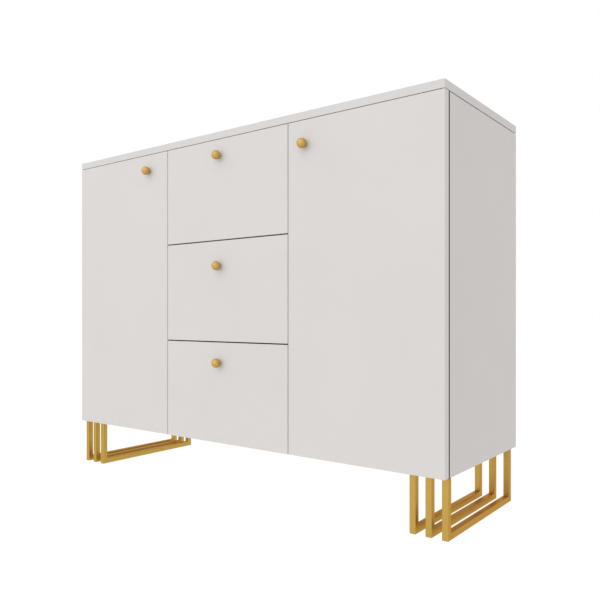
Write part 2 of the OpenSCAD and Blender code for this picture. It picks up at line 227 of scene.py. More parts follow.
def islands(node):
    """Lowest and highest corners of each separate solid of a CAD node."""
    mesh = frame["nodes"][node].data
    spots, owner = {}, []

    def root(k):
        while owner[k] != k:
            owner[k] = owner[owner[k]]
            k = owner[k]
        return k

    index = []
    for vert in mesh.vertices:
        key = on_grid(vert.co)
        if key not in spots:
            spots[key] = len(owner)
            owner.append(len(owner))
        index.append(spots[key])
    for polygon in mesh.polygons:
        first = root(index[polygon.vertices[0]])
        for v in polygon.vertices[1:]:
            owner[root(index[v])] = first
    groups = {}
    for vert, k in zip(mesh.vertices, index):
        groups.setdefault(root(k), []).append(vert.co)
    boxes = []
    for points in groups.values():
        low = Vector(min(p[i] for p in points) for i in range(3))
        high = Vector(max(p[i] for p in points) for i in range(3))
        boxes.append((low, high))
    return sorted(boxes, key=lambda corners: on_grid(corners[0]))


def stamp(bm, template, place):
    """Adds a copy of a template mesh to bm."""
    fresh = bmesh.new()
    fresh.from_mesh(template)
    fresh.transform(place)
    copy = as_mesh("copy", fresh)
    bm.from_mesh(copy)
    bpy.data.meshes.remove(copy)


# ---------------------------------------------------------------- materials


# The middle stretch of a noise texture's values, which the ramps and spans below use
NOISE_LOW, NOISE_HIGH = 0.3, 0.7


class Nodes:
    """Short ways to add and link shader nodes."""

    def __init__(self, name):
        self.material = bpy.data.materials.new(name)
        self.material.use_nodes = True
        self.tree = self.material.node_tree
        self.shader = self.tree.nodes["Principled BSDF"]
        self.coords = self.tree.nodes.new("ShaderNodeTexCoord").outputs["Object"]

    def link(self, source, target):
        self.tree.links.new(source, target)

    def feed(self, source, socket):
        """Links source to a named input of the main shader."""
        self.link(source, self.shader.inputs[socket])

    def noise(self, scale, detail=2.0, roughness=0.5, stretch=(1, 1, 1)):
        """Noise in the object's own space, with scale in waves per metre."""
        mapping = self.tree.nodes.new("ShaderNodeMapping")
        mapping.inputs["Scale"].default_value = stretch
        self.link(self.coords, mapping.inputs["Vector"])
        node = self.tree.nodes.new("ShaderNodeTexNoise")
        node.inputs["Scale"].default_value = scale
        node.inputs["Detail"].default_value = detail
        node.inputs["Roughness"].default_value = roughness
        self.link(mapping.outputs["Vector"], node.inputs["Vector"])
        return node.outputs["Fac"]

    def ramp(self, value, colours, low=NOISE_LOW, high=NOISE_HIGH):
        """Maps value from low..high onto a run of colours."""
        node = self.tree.nodes.new("ShaderNodeValToRGB")
        elements = node.color_ramp.elements
        elements[0].position = low
        elements[1].position = high
        elements[0].color = (*colours[0], 1)
        elements[1].color = (*colours[-1], 1)
        for k, colour in enumerate(colours[1:-1], 1):
            elements.new(low + (high - low) * k / (len(colours) - 1)).color = (*colour, 1)
        self.link(value, node.inputs["Fac"])
        return node.outputs["Color"]

    def span(self, value, low, high):
        """Maps the middle of a noise texture's values onto low..high."""
        node = self.tree.nodes.new("ShaderNodeMapRange")
        node.inputs["From Min"].default_value = NOISE_LOW
        node.inputs["From Max"].default_value = NOISE_HIGH
        node.inputs["To Min"].default_value = low
        node.inputs["To Max"].default_value = high
        self.link(value, node.inputs["Value"])
        return node.outputs["Result"]

    def bump(self, height, distance, strength, under=None):
        """A normal bent by height, on top of the normal under it."""
        node = self.tree.nodes.new("ShaderNodeBump")
        node.inputs["Strength"].default_value = strength
        node.inputs["Distance"].default_value = distance
        self.link(height, node.inputs["Height"])
        if under is not None:
            self.link(under, node.inputs["Normal"])
        return node.outputs["Normal"]

    def set(self, **values):
        """Sets inputs of the main shader, named with _ for each space."""
        for key, value in values.items():
            self.shader.inputs[key.replace("_", " ")].default_value = value


def shade(colour, factor):
    """A lighter or darker colour."""
    return tuple(min(1.0, channel * factor) for channel in colour)


def laminate(name, colour, roughness, grain=0.04 * MM):
    """Satin laminate or lacquer: slight cloudiness, fine orange-peel texture, uneven gloss."""
    n = Nodes(name)
    cloud = n.noise(5.0, detail=3.0)
    n.feed(n.ramp(cloud, [shade(colour, 0.985), colour, shade(colour, 1.01)]), "Base Color")
    gloss = n.noise(60.0, detail=4.0)
    n.feed(n.span(gloss, roughness - 0.03, roughness + 0.04), "Roughness")
    coarse = n.bump(n.noise(420.0, detail=1.0), grain * 1.5, 0.35)
    n.feed(n.bump(n.noise(1900.0, detail=2.0), grain, 0.35, coarse), "Normal")
    n.set(Specular_IOR_Level=0.32)
    return n.material


def metal(name, colour, roughness, scratch, stretch=(1, 1, 1), depth=0.02 * MM, tint=0.05, gloss=0.07,
          edge=(1, 1, 1, 1)):
    """Satin metal: fine drawn lines or grain, uneven gloss and a faint change of tone."""
    n = Nodes(name)
    tone = n.noise(35.0, detail=3.0)
    n.feed(n.ramp(tone, [shade(colour, 1 - tint), colour, shade(colour, 1 + tint)]), "Base Color")
    lines = n.noise(scratch, detail=4.0, roughness=0.6, stretch=stretch)
    n.feed(n.span(lines, roughness - gloss, roughness + gloss), "Roughness")
    n.feed(n.bump(lines, depth, 0.4), "Normal")
    n.set(Metallic=1.0, Specular_Tint=edge)
    return n.material


def soft_clear(name):
    """Hazy soft plastic that lets some light through."""
    n = Nodes(name)
    haze = n.noise(800.0)
    n.feed(n.span(haze, 0.25, 0.4), "Roughness")
    n.feed(n.bump(haze, 0.03 * MM, 0.3), "Normal")
    n.feed(n.ramp(haze, [(0.80, 0.83, 0.84), (0.88, 0.90, 0.90)]), "Base Color")
    n.set(Transmission_Weight=0.6, IOR=1.45)
    return n.material


def fibre(name, colour, roughness, spread, grain):
    """Pressed fibreboard: short crossed fibres in the colour and the surface."""
    n = Nodes(name)
    along = n.noise(260.0, detail=3.0, stretch=(1, 1, 0.25))
    across = n.noise(300.0, detail=3.0, stretch=(0.25, 1, 1))
    shades = [shade(colour, 1 - spread), colour, shade(colour, 1 + spread * 0.6)]
    n.feed(n.ramp(along, shades, 0.35, 0.65), "Base Color")
    n.feed(n.span(across, roughness - 0.05, roughness + 0.06), "Roughness")
    n.feed(n.bump(across, grain, 0.5, n.bump(along, grain, 0.5)), "Normal")
    n.set(Specular_IOR_Level=0.35)
    return n.material


def rubber(name, colour):
    """Dull rubber with a slightly uneven skin."""
    n = Nodes(name)
    skin = n.noise(700.0, detail=3.0)
    n.feed(n.ramp(skin, [shade(colour, 0.8), shade(colour, 1.15)]), "Base Color")
    n.feed(n.span(skin, 0.75, 0.9), "Roughness")
    n.feed(n.bump(skin, 0.05 * MM, 0.5), "Normal")
    n.set(Specular_IOR_Level=0.1)
    return n.material


# Base colours, in linear light. GOLD_EDGE tints the gold where it is seen at a flat angle.
CREAM = (0.518, 0.4885, 0.472)
CARCASS_CREAM = (0.510, 0.480, 0.4635)
GOLD = (0.487, 0.313, 0.070)
KNOB_GOLD = (0.558, 0.384, 0.118)
GOLD_EDGE = (0.85, 0.53, 0.45, 1)
GREY = (0.60, 0.585, 0.57)

front_board = laminate("front_lacquer", CREAM, roughness=0.5)
carcass_board = laminate("carcass_laminate", CARCASS_CREAM, roughness=0.52)
back_board = fibre("back_fibreboard", shade(CREAM, 0.99), roughness=0.6, spread=0.04, grain=0.015 * MM)
drawer_board = laminate("drawer_laminate", GREY, roughness=0.5, grain=0.07 * MM)
base_board = fibre("drawer_base_board", GREY, roughness=0.6, spread=0.06, grain=0.02 * MM)
gold_frame = metal("gold_frame", GOLD, roughness=0.38, scratch=1800.0, depth=0.004 * MM, tint=0.02,
                   gloss=0.03, edge=GOLD_EDGE)
gold_knob = metal("gold_knob", KNOB_GOLD, roughness=0.62, scratch=2200.0, depth=0.005 * MM, tint=0.02,
                  gloss=0.04, edge=GOLD_EDGE)
zinc = metal("zinc_plate", (0.62, 0.62, 0.61), roughness=0.38, scratch=1500.0)
nickel = metal("nickel_plate", (0.68, 0.67, 0.65), roughness=0.26, scratch=1800.0)
slide_steel = metal("slide_steel", (0.58, 0.59, 0.60), roughness=0.34, stretch=(1, 0.04, 1), scratch=1200.0)
nail_steel = metal("nail_steel", (0.38, 0.37, 0.36), roughness=0.42, scratch=1500.0)
ball_steel = metal("ball_steel", (0.72, 0.72, 0.72), roughness=0.15, scratch=2500.0)
bumper_clear = soft_clear("clear_bumper")
# Near-black, for the lips in the gaps beside the doors: painted shade standing in for the dark of those
# gaps
gap_shade_grey = rubber("gap_shade_lip", (0.026, 0.021, 0.018))


# ---------------------------------------------------------------- planes of the cabinet


front_y, front_back_y = (corner.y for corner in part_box("door_right"))
carcass_y, back_y = (corner.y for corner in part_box("side_panel_right"))
side_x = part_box("bottom_panel")[1].x
half_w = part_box("side_panel_right")[1].x
divider_in, divider_out = (corner.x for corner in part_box("divider_right"))
divider_x = (divider_in + divider_out) / 2
compartment_x = (divider_out + side_x) / 2
underside_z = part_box("bottom_panel")[0].z
panel_top_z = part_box("side_panel_right")[1].z
panel_back_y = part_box("bottom_panel")[1].y


def body_of(node):
    """The body that a CAD node belongs to."""
    for body, nodes in frame["record"]["behaviour"]["bodies"].items():
        if node in nodes:
            return body
    return CABINET


def slot_of(node):
    """The record's material slot for a CAD node."""
    for part in frame["record"]["subparts"]:
        if part["node"] == node:
            return part["material_slot"]
    return None


def toward_compartment(low, high):
    """Where a fastener on an upright board shows: its seat point and its outward direction."""
    middle = (low + high) / 2
    sign = 1 if middle.x > 0 else -1
    outward = sign if abs(middle.x) < compartment_x else -sign
    seat_x = high.x if outward > 0 else low.x
    return Vector((seat_x, middle.y, middle.z)), Vector((outward, 0, 0))


# ---------------------------------------------------------------- carried-over CAD nodes


def dress(node, material, edge, steps=2):
    """Gives a CAD node its material and softly rounded edges."""
    obj = frame["nodes"][node]
    obj.data.materials.clear()
    obj.data.materials.append(material)
    weld = obj.modifiers.new("weld", "WELD")
    weld.merge_threshold = 0.01 * MM
    bevel = obj.modifiers.new("edge", "BEVEL")
    bevel.width = edge
    bevel.segments = steps
    bevel.limit_method = "ANGLE"
    bevel.angle_limit = math.radians(BOARD_SMOOTH_UP_TO)
    bevel.use_clamp_overlap = False
    bevel.harden_normals = True


BOARD_EDGE = 0.4 * MM
SHEET_EDGE = 0.25 * MM
BACK_EDGE = 0.5 * MM
BOLT_EDGE = 0.3 * MM

for node_name in frame["nodes"]:
    if node_name.startswith(("shelf_left", "shelf_right")):
        dress(node_name, carcass_board, BOARD_EDGE, 3)
    elif node_name.endswith(("_sides", "_back")):
        dress(node_name, drawer_board, SHEET_EDGE)
    elif node_name.endswith("_base"):
        dress(node_name, base_board, SHEET_EDGE)
    elif node_name == "back_panel":
        dress(node_name, back_board, BACK_EDGE)
    elif node_name.startswith("hinge_"):
        dress(node_name, nickel, SHEET_EDGE)
    elif node_name == "cam_bolts":
        dress(node_name, zinc, BOLT_EDGE)


# ---------------------------------------------------------------- bored boards


CUP_INSET = 3 * MM
CUP_BORE_R = 17.5 * MM
CUP_BORE_DEPTH = 12.2 * MM
CAM_BORE_R = 7.5 * MM
CAM_BORE_DEPTH = 12.5 * MM
PIN_BORE_R = 2.5 * MM
PIN_BORE_DEPTH = 10 * MM
RABBET_W = 10 * MM
RABBET_PLAY = 0.6 * MM
SHADOW_D = 4 * MM
SIDE_SHADOW_H = 2.5 * MM

# The holes of a row, counted from the one that holds the shelf pin
PIN_PITCH = 32 * MM
PIN_HOLES = range(-2, 3)

# How far a cutter passes the surfaces that it opens
OVER = 2 * MM

pin_boxes = islands("shelf_pins")
cam_boxes = islands("cam_locks")


def bore(bm, centre, axis, radius, depth):
    """A cylinder for cutting, from just outside its centre point into the board along axis."""
    over = OVER / 2
    profile = [(-over, 0), (-over, radius), (depth, radius), (depth, 0)]
    lathe(bm, profile, axis_place(centre, axis), DISC_FLATS)


def board(node, material, cutter=None):
    """A board with slightly eased edges, less the bores and rabbets in cutter."""
    low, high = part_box(node)
    bm = bmesh.new()
    rounded_box(bm, low, high, BOARD_EDGE)
    if cutter is not None:
        bm = as_bmesh(cut(node, bm, cutter))
    piece = finish_mesh(node + "_board", bm, material, BOARD_SMOOTH_UP_TO)
    hand_in(piece, body_of(node), slot_of(node), node)


def in_upright_board(low, high):
    """Whether a cam lock, a disc flatter than it is wide, lies in an upright board."""
    return high.z - low.z > high.x - low.x


def upright_cutter(face_x, sign):
    """Cam bores and rows of shelf pin holes in the face of an upright board at face_x."""
    bm = bmesh.new()
    for low, high in cam_boxes:
        seat, outward = toward_compartment(low, high)
        if in_upright_board(low, high) and abs(seat.x - face_x) < OVER / 2:
            bore(bm, seat, -outward, CAM_BORE_R, CAM_BORE_DEPTH)
    for low, high in pin_boxes:
        middle = (low + high) / 2
        if abs(middle.x - face_x) < PIN_BORE_DEPTH:
            for k in PIN_HOLES:
                centre = Vector((face_x, middle.y, middle.z + k * PIN_PITCH))
                bore(bm, centre, (sign, 0, 0), PIN_BORE_R, PIN_BORE_DEPTH)
    return bm


def side_panel(side):
    """Bored on its inner face, stepped in at the top for the shadow line, with a rabbet for the back."""
    sign = SIDES[side]
    bm = upright_cutter(sign * side_x, sign)
    rear, above = back_y + OVER, panel_top_z + OVER
    xs = sorted((sign * (half_w - SHADOW_D), sign * (half_w + OVER)))
    plain_box(bm, (xs[0], carcass_y - OVER, panel_top_z - SIDE_SHADOW_H), (xs[1], rear, above))
    xs = sorted((sign * (side_x - OVER), sign * (side_x + RABBET_W + RABBET_PLAY)))
    plain_box(bm, (xs[0], panel_back_y, underside_z - OVER), (xs[1], rear, above))
    board(f"side_panel_{side}", carcass_board, bm)


def top_panel():
    """With a rabbet for the back panel's upper edge."""
    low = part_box("top_panel")[0]
    rabbet_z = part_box("back_panel")[1].z + RABBET_PLAY
    reach_x = side_x + RABBET_W + RABBET_PLAY
    bm = bmesh.new()
    plain_box(bm, (-reach_x, panel_back_y, low.z - OVER), (reach_x, back_y + OVER, rabbet_z))
    board("top_panel", carcass_board, bm)


def bottom_panel():
    """Bored from below for its cam locks."""
    bm = bmesh.new()
    for low, high in cam_boxes:
        if not in_upright_board(low, high):
            middle = (low + high) / 2
            bore(bm, Vector((middle.x, middle.y, low.z)), (0, 0, 1), CAM_BORE_R, CAM_BORE_DEPTH)
    board("bottom_panel", carcass_board, bm)


def cup_centre_x(side):
    return SIDES[side] * (half_w - CUP_INSET - CUP_BORE_R)


def door(side):
    """Bored from behind for its hinge cups."""
    bm = bmesh.new()
    for low, high in islands(f"door_{side}_hinge_cups"):
        centre = Vector((cup_centre_x(side), front_back_y, (low.z + high.z) / 2))
        bore(bm, centre, (0, -1, 0), CUP_BORE_R, CUP_BORE_DEPTH)
    board(f"door_{side}", front_board, bm)


for side_name, side_sign in SIDES.items():
    side_panel(side_name)
    board(f"divider_{side_name}", carcass_board, upright_cutter(side_sign * divider_out, -side_sign))
    door(side_name)
top_panel()
bottom_panel()
for row_name in ROWS:
    board(f"drawer_{row_name}_front", front_board)


GAP_SHADE_LIP_EDGE = 0.15 * MM

# The lip's section in mm: inwards from the side's outer face, and backwards from the side's front edge
GAP_SHADE_LIP_SECTION = [(0.5, 1.7), (-0.05, 1.7), (-0.05, -1.9), (0.6, -2.1), (1.4, -1.8), (3.4, -0.7), (3.8, 0.1)]


def gap_shade_lips():
    """A near-black lip along each side panel's front edge, in the gap behind the door: painted shade that
    darkens the gap.
    """
    for side, sign in SIDES.items():
        outline = [(sign * (half_w - x * MM), carcass_y + y * MM) for x, y in GAP_SHADE_LIP_SECTION]
        bm = bmesh.new()
        rounded = fillet(outline, GAP_SHADE_LIP_EDGE, steps=3, closed=True)
        prism(bm, rounded, underside_z, panel_top_z - SIDE_SHADOW_H, IDENTITY)
        hand_in(finish_mesh(f"gap_shade_lip_{side}", bm, gap_shade_grey), CABINET, "clear_bumper")


gap_shade_lips()


# ---------------------------------------------------------------- legs


TUBE_CORNER = 0.8 * MM
TUBE_WALL = 1.5 * MM
DOOR_RELIEF = 1 * MM


def square_section(half, corner):
    square = [(-half, -half), (half, -half), (half, half), (-half, half)]
    return fillet(square, corner, steps=4, closed=True)


def leg_frame(node):
    """A U of square tube with mitred lower corners, notched at the top under the door."""
    low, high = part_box(node)
    half = (high.x - low.x) / 2
    middle_x = (low.x + high.x) / 2
    front, rear, bar = low.y + half, high.y - half, low.z + half
    path = [(front, high.z, 1, 0), (front, bar, 1, 1), (rear, bar, -1, 1), (rear, high.z, -1, 0)]
    bm = bmesh.new()
    shells = []
    for size, corner in ((half, TUBE_CORNER), (half - TUBE_WALL, TUBE_CORNER / 2)):
        rings = []
        for y, z, inward, mitre in path:
            ring = []
            for u, v in square_section(size, corner):
                ring.append(bm.verts.new((middle_x + u, y + inward * v, z + mitre * v)))
            rings.append(ring)
        for ring_a, ring_b in zip(rings, rings[1:]):
            bridge(bm, ring_a, ring_b)
        shells.append(rings)
    bridge(bm, shells[0][0], shells[1][0])
    bridge(bm, shells[0][-1], shells[1][-1])
    notch = bmesh.new()
    notch_low = (low.x - OVER, low.y - OVER, high.z - DOOR_RELIEF)
    plain_box(notch, notch_low, (high.x + OVER, carcass_y, high.z + OVER))
    piece = finish_mesh(node + "_tube", as_bmesh(cut(node, bm, notch)), gold_frame, BOARD_SMOOTH_UP_TO)
    hand_in(piece, CABINET, "gold_frame", node)


for side_name in SIDES:
    for place_name in ("outer", "middle", "inner"):
        leg_frame(f"leg_{side_name}_{place_name}")


# ---------------------------------------------------------------- screws, locks and pins


# A cross recess's reach and the half width of its arms, as shares of the head's radius
RECESS_REACH, RECESS_ARM = 0.55, 0.13


def cross(reach, arm):
    """The outline of a cross with arms of half width arm."""
    return [
        (reach, -arm), (reach, arm), (arm, arm), (arm, reach), (-arm, reach), (-arm, arm),
        (-reach, arm), (-reach, -arm), (-arm, -arm), (-arm, -reach), (arm, -reach), (arm, -arm),
    ]


def turned(name, profile, flats):
    """A turned part as a template mesh, about local Z."""
    bm = bmesh.new()
    lathe(bm, profile, IDENTITY, flats)
    return as_mesh(name, bm)


def pan_screw(head_r, head_h, shank_r, length):
    """A pan-head screw with a cross recess: its head above z = 0, its shank below."""
    body = bmesh.new()
    dome = fillet(
        [(-length, 0), (-length, shank_r * 0.4), (-length + shank_r, shank_r), (0, shank_r), (0, head_r),
         (head_h * 0.45, head_r), (head_h, head_r * 0.62), (head_h, 0)],
        [0, 0, 0, 0, head_h * 0.1, head_h * 0.35, head_h * 0.8, 0],
    )
    lathe(body, dome, IDENTITY, SCREW_FLATS)
    cutter = bmesh.new()
    prism(cutter, cross(head_r * RECESS_REACH, head_r * RECESS_ARM), head_h * 0.3, head_h * 2, IDENTITY)
    return cut("screw", body, cutter)


def stamped(name, template, places, material, body, slot, *nodes):
    """One piece made of copies of a template."""
    bm = bmesh.new()
    for place in places:
        stamp(bm, template, place)
    hand_in(finish_mesh(name, bm, material), body, slot, *nodes)


PLATE_CORNER = 4 * MM
PLATE_BORE_R = 2.3 * MM


def leg_plates():
    """Drilled plates with rounded corners, and the screws that hold them."""
    plate_low, plate_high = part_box("leg_plates")
    thick = plate_high.z - plate_low.z
    bm = bmesh.new()
    holes = bmesh.new()
    for low, high in islands("leg_plates"):
        corners = [(low.x, low.y), (high.x, low.y), (high.x, high.y), (low.x, high.y)]
        prism(bm, fillet(corners, PLATE_CORNER, steps=6, closed=True), low.z, high.z, IDENTITY)
    places = []
    for low, high in islands("leg_screws"):
        centre = (low + high) / 2
        seat = Vector((centre.x, centre.y, underside_z - thick))
        bore(holes, seat, (0, 0, 1), PLATE_BORE_R, thick + OVER / 2)
        places.append(axis_place(seat, (0, 0, -1)))
    plates = finish_mesh("leg_plates_drilled", as_bmesh(cut("plates", bm, holes)), gold_frame)
    hand_in(plates, CABINET, "gold_frame", "leg_plates")
    screw = pan_screw(head_r=4 * MM, head_h=2.5 * MM, shank_r=2 * MM, length=17 * MM)
    stamped("leg_screws_cross", screw, places, gold_frame, CABINET, slot_of("leg_screws"), "leg_screws")


def euro_screws():
    """System screws, in the hinge plates and the outer slide members."""
    head_h = 2 * MM
    screw = pan_screw(head_r=3.75 * MM, head_h=head_h, shank_r=3 * MM, length=10 * MM)
    places = []
    for low, high in islands("euro_screws"):
        middle = (low + high) / 2
        sign = 1 if middle.x > 0 else -1
        seat_x = sign * (min(abs(low.x), abs(high.x)) + head_h)
        places.append(axis_place((seat_x, middle.y, middle.z), (-sign, 0, 0)))
    stamped("euro_screws_cross", screw, places, zinc, CABINET, slot_of("euro_screws"), "euro_screws")


def cam_locks():
    """Cast cam discs with a cross recess and a sunk arrow."""
    radius, height = 7.4 * MM, 12 * MM
    body = bmesh.new()
    outline = fillet(
        [(-height, 0), (-height, radius), (-0.9 * MM, radius), (-0.9 * MM, radius - 0.5 * MM),
         (0, radius - 0.5 * MM), (0, radius - 1.7 * MM), (-0.5 * MM, radius - 2.1 * MM), (-0.5 * MM, 0)],
        [0, 0.4 * MM, 0, 0, 0.3 * MM, 0.3 * MM, 0, 0],
    )
    lathe(body, outline, IDENTITY, DISC_FLATS)
    cutter = bmesh.new()
    prism(cutter, cross(3.4 * MM, 0.6 * MM), -4 * MM, 1 * MM, IDENTITY)
    arrow = [(3.9 * MM, 0.9 * MM), (5.0 * MM, 0), (3.9 * MM, -0.9 * MM)]
    prism(cutter, arrow, -1 * MM, 1 * MM, IDENTITY)
    template = cut("cam", body, cutter)
    places = []
    for low, high in cam_boxes:
        middle = (low + high) / 2
        if in_upright_board(low, high):
            places.append(axis_place(*toward_compartment(low, high)))
        else:
            places.append(axis_place((middle.x, middle.y, low.z), (0, 0, -1)))
    stamped("cam_locks_cast", template, places, zinc, CABINET, slot_of("cam_locks"), "cam_locks")


def shelf_pins():
    """Steel pins with a thin collar that sits against the board."""
    outline = fillet(
        [(-9, 0), (-9, 2.2), (-8.6, 2.5), (0, 2.5), (0, 3.6), (0.9, 3.6), (0.9, 2.5), (8, 2.5), (8, 0)],
        [0, 0, 0, 0, 0.2, 0.3, 0.2, 0.9, 0],
    )
    profile = [(height * MM, radius * MM) for height, radius in outline]
    template = turned("pin", profile, SCREW_FLATS)
    reach = 8 * MM
    places = []
    for low, high in pin_boxes:
        tip, outward = toward_compartment(low, high)
        places.append(axis_place(tip - outward * reach, outward))
    stamped("shelf_pins_collared", template, places, nickel, CABINET, slot_of("shelf_pins"), "shelf_pins")


def door_bumpers():
    """Clear domes on the dividers' front edges."""
    outline = fillet([(0, 0), (0, 3.5), (1.2, 3.5), (2.7, 2.2), (2.7, 0)], [0, 0.2, 0.6, 1.0, 0], steps=6)
    profile = [(height * MM, radius * MM) for height, radius in outline]
    template = turned("bumper", profile, DISC_FLATS)
    places = []
    for low, high in islands("door_bumpers"):
        middle = (low + high) / 2
        places.append(axis_place((middle.x, high.y, middle.z), (0, -1, 0)))
    slot = slot_of("door_bumpers")
    stamped("door_bumpers_domed", template, places, bumper_clear, CABINET, slot, "door_bumpers")


leg_plates()
euro_screws()
cam_locks()
shelf_pins()
door_bumpers()


# ---------------------------------------------------------------- hinges on the doors


FLANGE_T = 1 * MM


def hinge_cups(side):
    """Pressed cups with a winged flange, and a pin across each."""
    node = f"door_{side}_hinge_cups"
    sign = SIDES[side]
    cup_x = cup_centre_x(side)
    outer_r, inner_r, flange_r = 17.4 * MM, 16.8 * MM, 18.4 * MM
    depth, floor_t = 12.1 * MM, 0.8 * MM
    wing_x, wing_half_w, wing_half_h = cup_x - sign * 9.5 * MM, 6.5 * MM, 28.5 * MM
    pin_x, pin_y = sign * (half_w - 7.5 * MM), front_back_y - 9 * MM
    pin_r, pin_half = 1 * MM, 11.3 * MM
    shell = [
        (-depth, 0), (-depth, outer_r), (0, outer_r), (0, flange_r), (FLANGE_T, flange_r), (FLANGE_T, 0),
    ]
    shell = fillet(shell, [0, 1.2 * MM, 0, 0, 0.5 * MM, 0])
    above = 2 * FLANGE_T
    hollow = [(floor_t - depth, 0), (floor_t - depth, inner_r), (above, inner_r), (above, 0)]
    hollow = fillet(hollow, [0, 1.0 * MM, 0, 0])
    pin = [(-pin_half, 0), (-pin_half, pin_r), (pin_half, pin_r), (pin_half, 0)]
    # The wings lie a hair below the flange's rim, so that the two faces don't coincide
    wing_t = FLANGE_T - 0.02 * MM
    body, cutter, pins = bmesh.new(), bmesh.new(), bmesh.new()
    for low, high in islands(node):
        z = (low.z + high.z) / 2
        place = axis_place((cup_x, front_back_y, z), (0, 1, 0))
        lathe(body, shell, place, WIDE_FLATS)
        wing = [
            (wing_x - wing_half_w, z - wing_half_h), (wing_x + wing_half_w, z - wing_half_h),
            (wing_x + wing_half_w, z + wing_half_h), (wing_x - wing_half_w, z + wing_half_h),
        ]
        flat = [(x, -height) for x, height in fillet(wing, 5 * MM, steps=6, closed=True)]
        stand = Matrix.Translation((0, front_back_y, 0)) @ Matrix.Rotation(math.radians(-90), 4, "X")
        prism(body, flat, 0, wing_t, stand)
        lathe(cutter, hollow, place, WIDE_FLATS)
        lathe(pins, pin, Matrix.Translation((pin_x, pin_y, z)), THIN_FLATS)
    mesh = cut("cups", body, cutter)
    pins.from_mesh(mesh)
    bpy.data.meshes.remove(mesh)
    hand_in(finish_mesh(f"{node}_pressed", pins, nickel), f"door_{side}", slot_of(node), node)


def cup_screws(side):
    """The screws that hold the cups' wings to the door."""
    node = f"door_{side}_cup_screws"
    screw = pan_screw(head_r=3.5 * MM, head_h=1.5 * MM, shank_r=1.75 * MM, length=13 * MM)
    places = []
    for low, high in islands(node):
        middle = (low + high) / 2
        places.append(axis_place((middle.x, front_back_y + FLANGE_T, middle.z), (0, 1, 0)))
    stamped(f"{node}_cross", screw, places, nickel, f"door_{side}", slot_of(node), node)


for side_name in SIDES:
    hinge_cups(side_name)
    cup_screws(side_name)


# ---------------------------------------------------------------- drawer slides


SHEET_T = 1.2 * MM
BALL_SMOOTH_UP_TO = 60
BALL_R = 1.5 * MM
BALL_SHOWN_R = 0.93 * BALL_R
BALL_PITCH = 9 * MM
BALL_END_ROOM = 30 * MM
CAGE_T = 0.5 * MM
CAGE_HALF_W = 1.2 * BALL_R
CAGE_END_ROOM = 10 * MM
CAGE_EDGE = 0.15 * MM
RAIL_HALF_H = 22.5 * MM
box_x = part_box("drawer_top_sides")[1].x


def rail_outline(web, lip, half_h):
    """A C-shaped section: its web one sheet thick from web, its lips reaching to lip."""
    back, inner = (web, web + SHEET_T) if lip > web else (web + SHEET_T, web)
    inner_h = half_h - SHEET_T
    points = [
        (back, -half_h), (lip, -half_h), (lip, -inner_h), (inner, -inner_h),
        (inner, inner_h), (lip, inner_h), (lip, half_h), (back, half_h),
    ]
    radii = [2.0, 0.3, 0.3, 0.8, 0.8, 0.3, 0.3, 2.0]
    return fillet(points, [r * MM for r in radii], steps=5, closed=True)


def slide_member(node, web, lip, half_h, balls=None):
    """A pair of slide members, with the balls and cages that run on their lips."""
    low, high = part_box(node)
    middle_z = (low.z + high.z) / 2
    bm = bmesh.new()
    stand = Matrix.Translation((0, 0, middle_z)) @ Matrix.Rotation(math.radians(90), 4, "X")
    outline = rail_outline(web, lip, half_h)
    ball_bm = bmesh.new()
    for sign in (-1, 1):
        prism(bm, [(sign * x, z) for x, z in outline], -high.y, -low.y, stand)
        if balls is None:
            continue
        ball_x, ball_z = balls
        count = int((high.y - low.y - BALL_END_ROOM) / BALL_PITCH)
        start = (low.y + high.y - (count - 1) * BALL_PITCH) / 2
        for up in (-1, 1):
            x, z = sign * ball_x, middle_z + up * ball_z
            for k in range(count):
                spot = Matrix.Translation((x, start + k * BALL_PITCH, z))
                bmesh.ops.create_icosphere(ball_bm, subdivisions=2, radius=BALL_SHOWN_R, matrix=spot)
            cage_low = (x - CAGE_HALF_W, low.y + CAGE_END_ROOM, z - CAGE_T / 2)
            cage_high = (x + CAGE_HALF_W, high.y - CAGE_END_ROOM, z + CAGE_T / 2)
            rounded_box(bm, cage_low, cage_high, CAGE_EDGE, 2)
    body = body_of(node)
    hand_in(finish_mesh(f"{node}_rolled", bm, slide_steel), body, slot_of(node), node)
    if balls is None:
        ball_bm.free()
    else:
        hand_in(finish_mesh(f"{node}_balls", ball_bm, ball_steel, BALL_SMOOTH_UP_TO), body, slot_of(node))


# The middle and inner members step in from the outer one's height, with a row of balls in each step
OUTER_LIP_X, MID_LIP_X, INNER_LIP_X = box_x + 2 * MM, box_x + 2.3 * MM, box_x + 6.5 * MM
MID_WEB_X = divider_in - 5.4 * MM
MID_HALF_H, INNER_HALF_H = RAIL_HALF_H - 3.3 * MM, RAIL_HALF_H - 6.3 * MM
OUTER_BALLS = (box_x + 5.2 * MM, RAIL_HALF_H - 2.4 * MM)
INNER_BALLS = (box_x + 4.5 * MM, RAIL_HALF_H - 5.4 * MM)

for row_name in ROWS:
    rails = f"drawer_{row_name}_rails"
    slide_member(f"{rails}_outer", divider_in - SHEET_T, OUTER_LIP_X, RAIL_HALF_H)
    slide_member(f"{rails}_mid", MID_WEB_X, MID_LIP_X, MID_HALF_H, OUTER_BALLS)
    slide_member(f"{rails}_inner", box_x, INNER_LIP_X, INNER_HALF_H, INNER_BALLS)


# ---------------------------------------------------------------- back panel nails


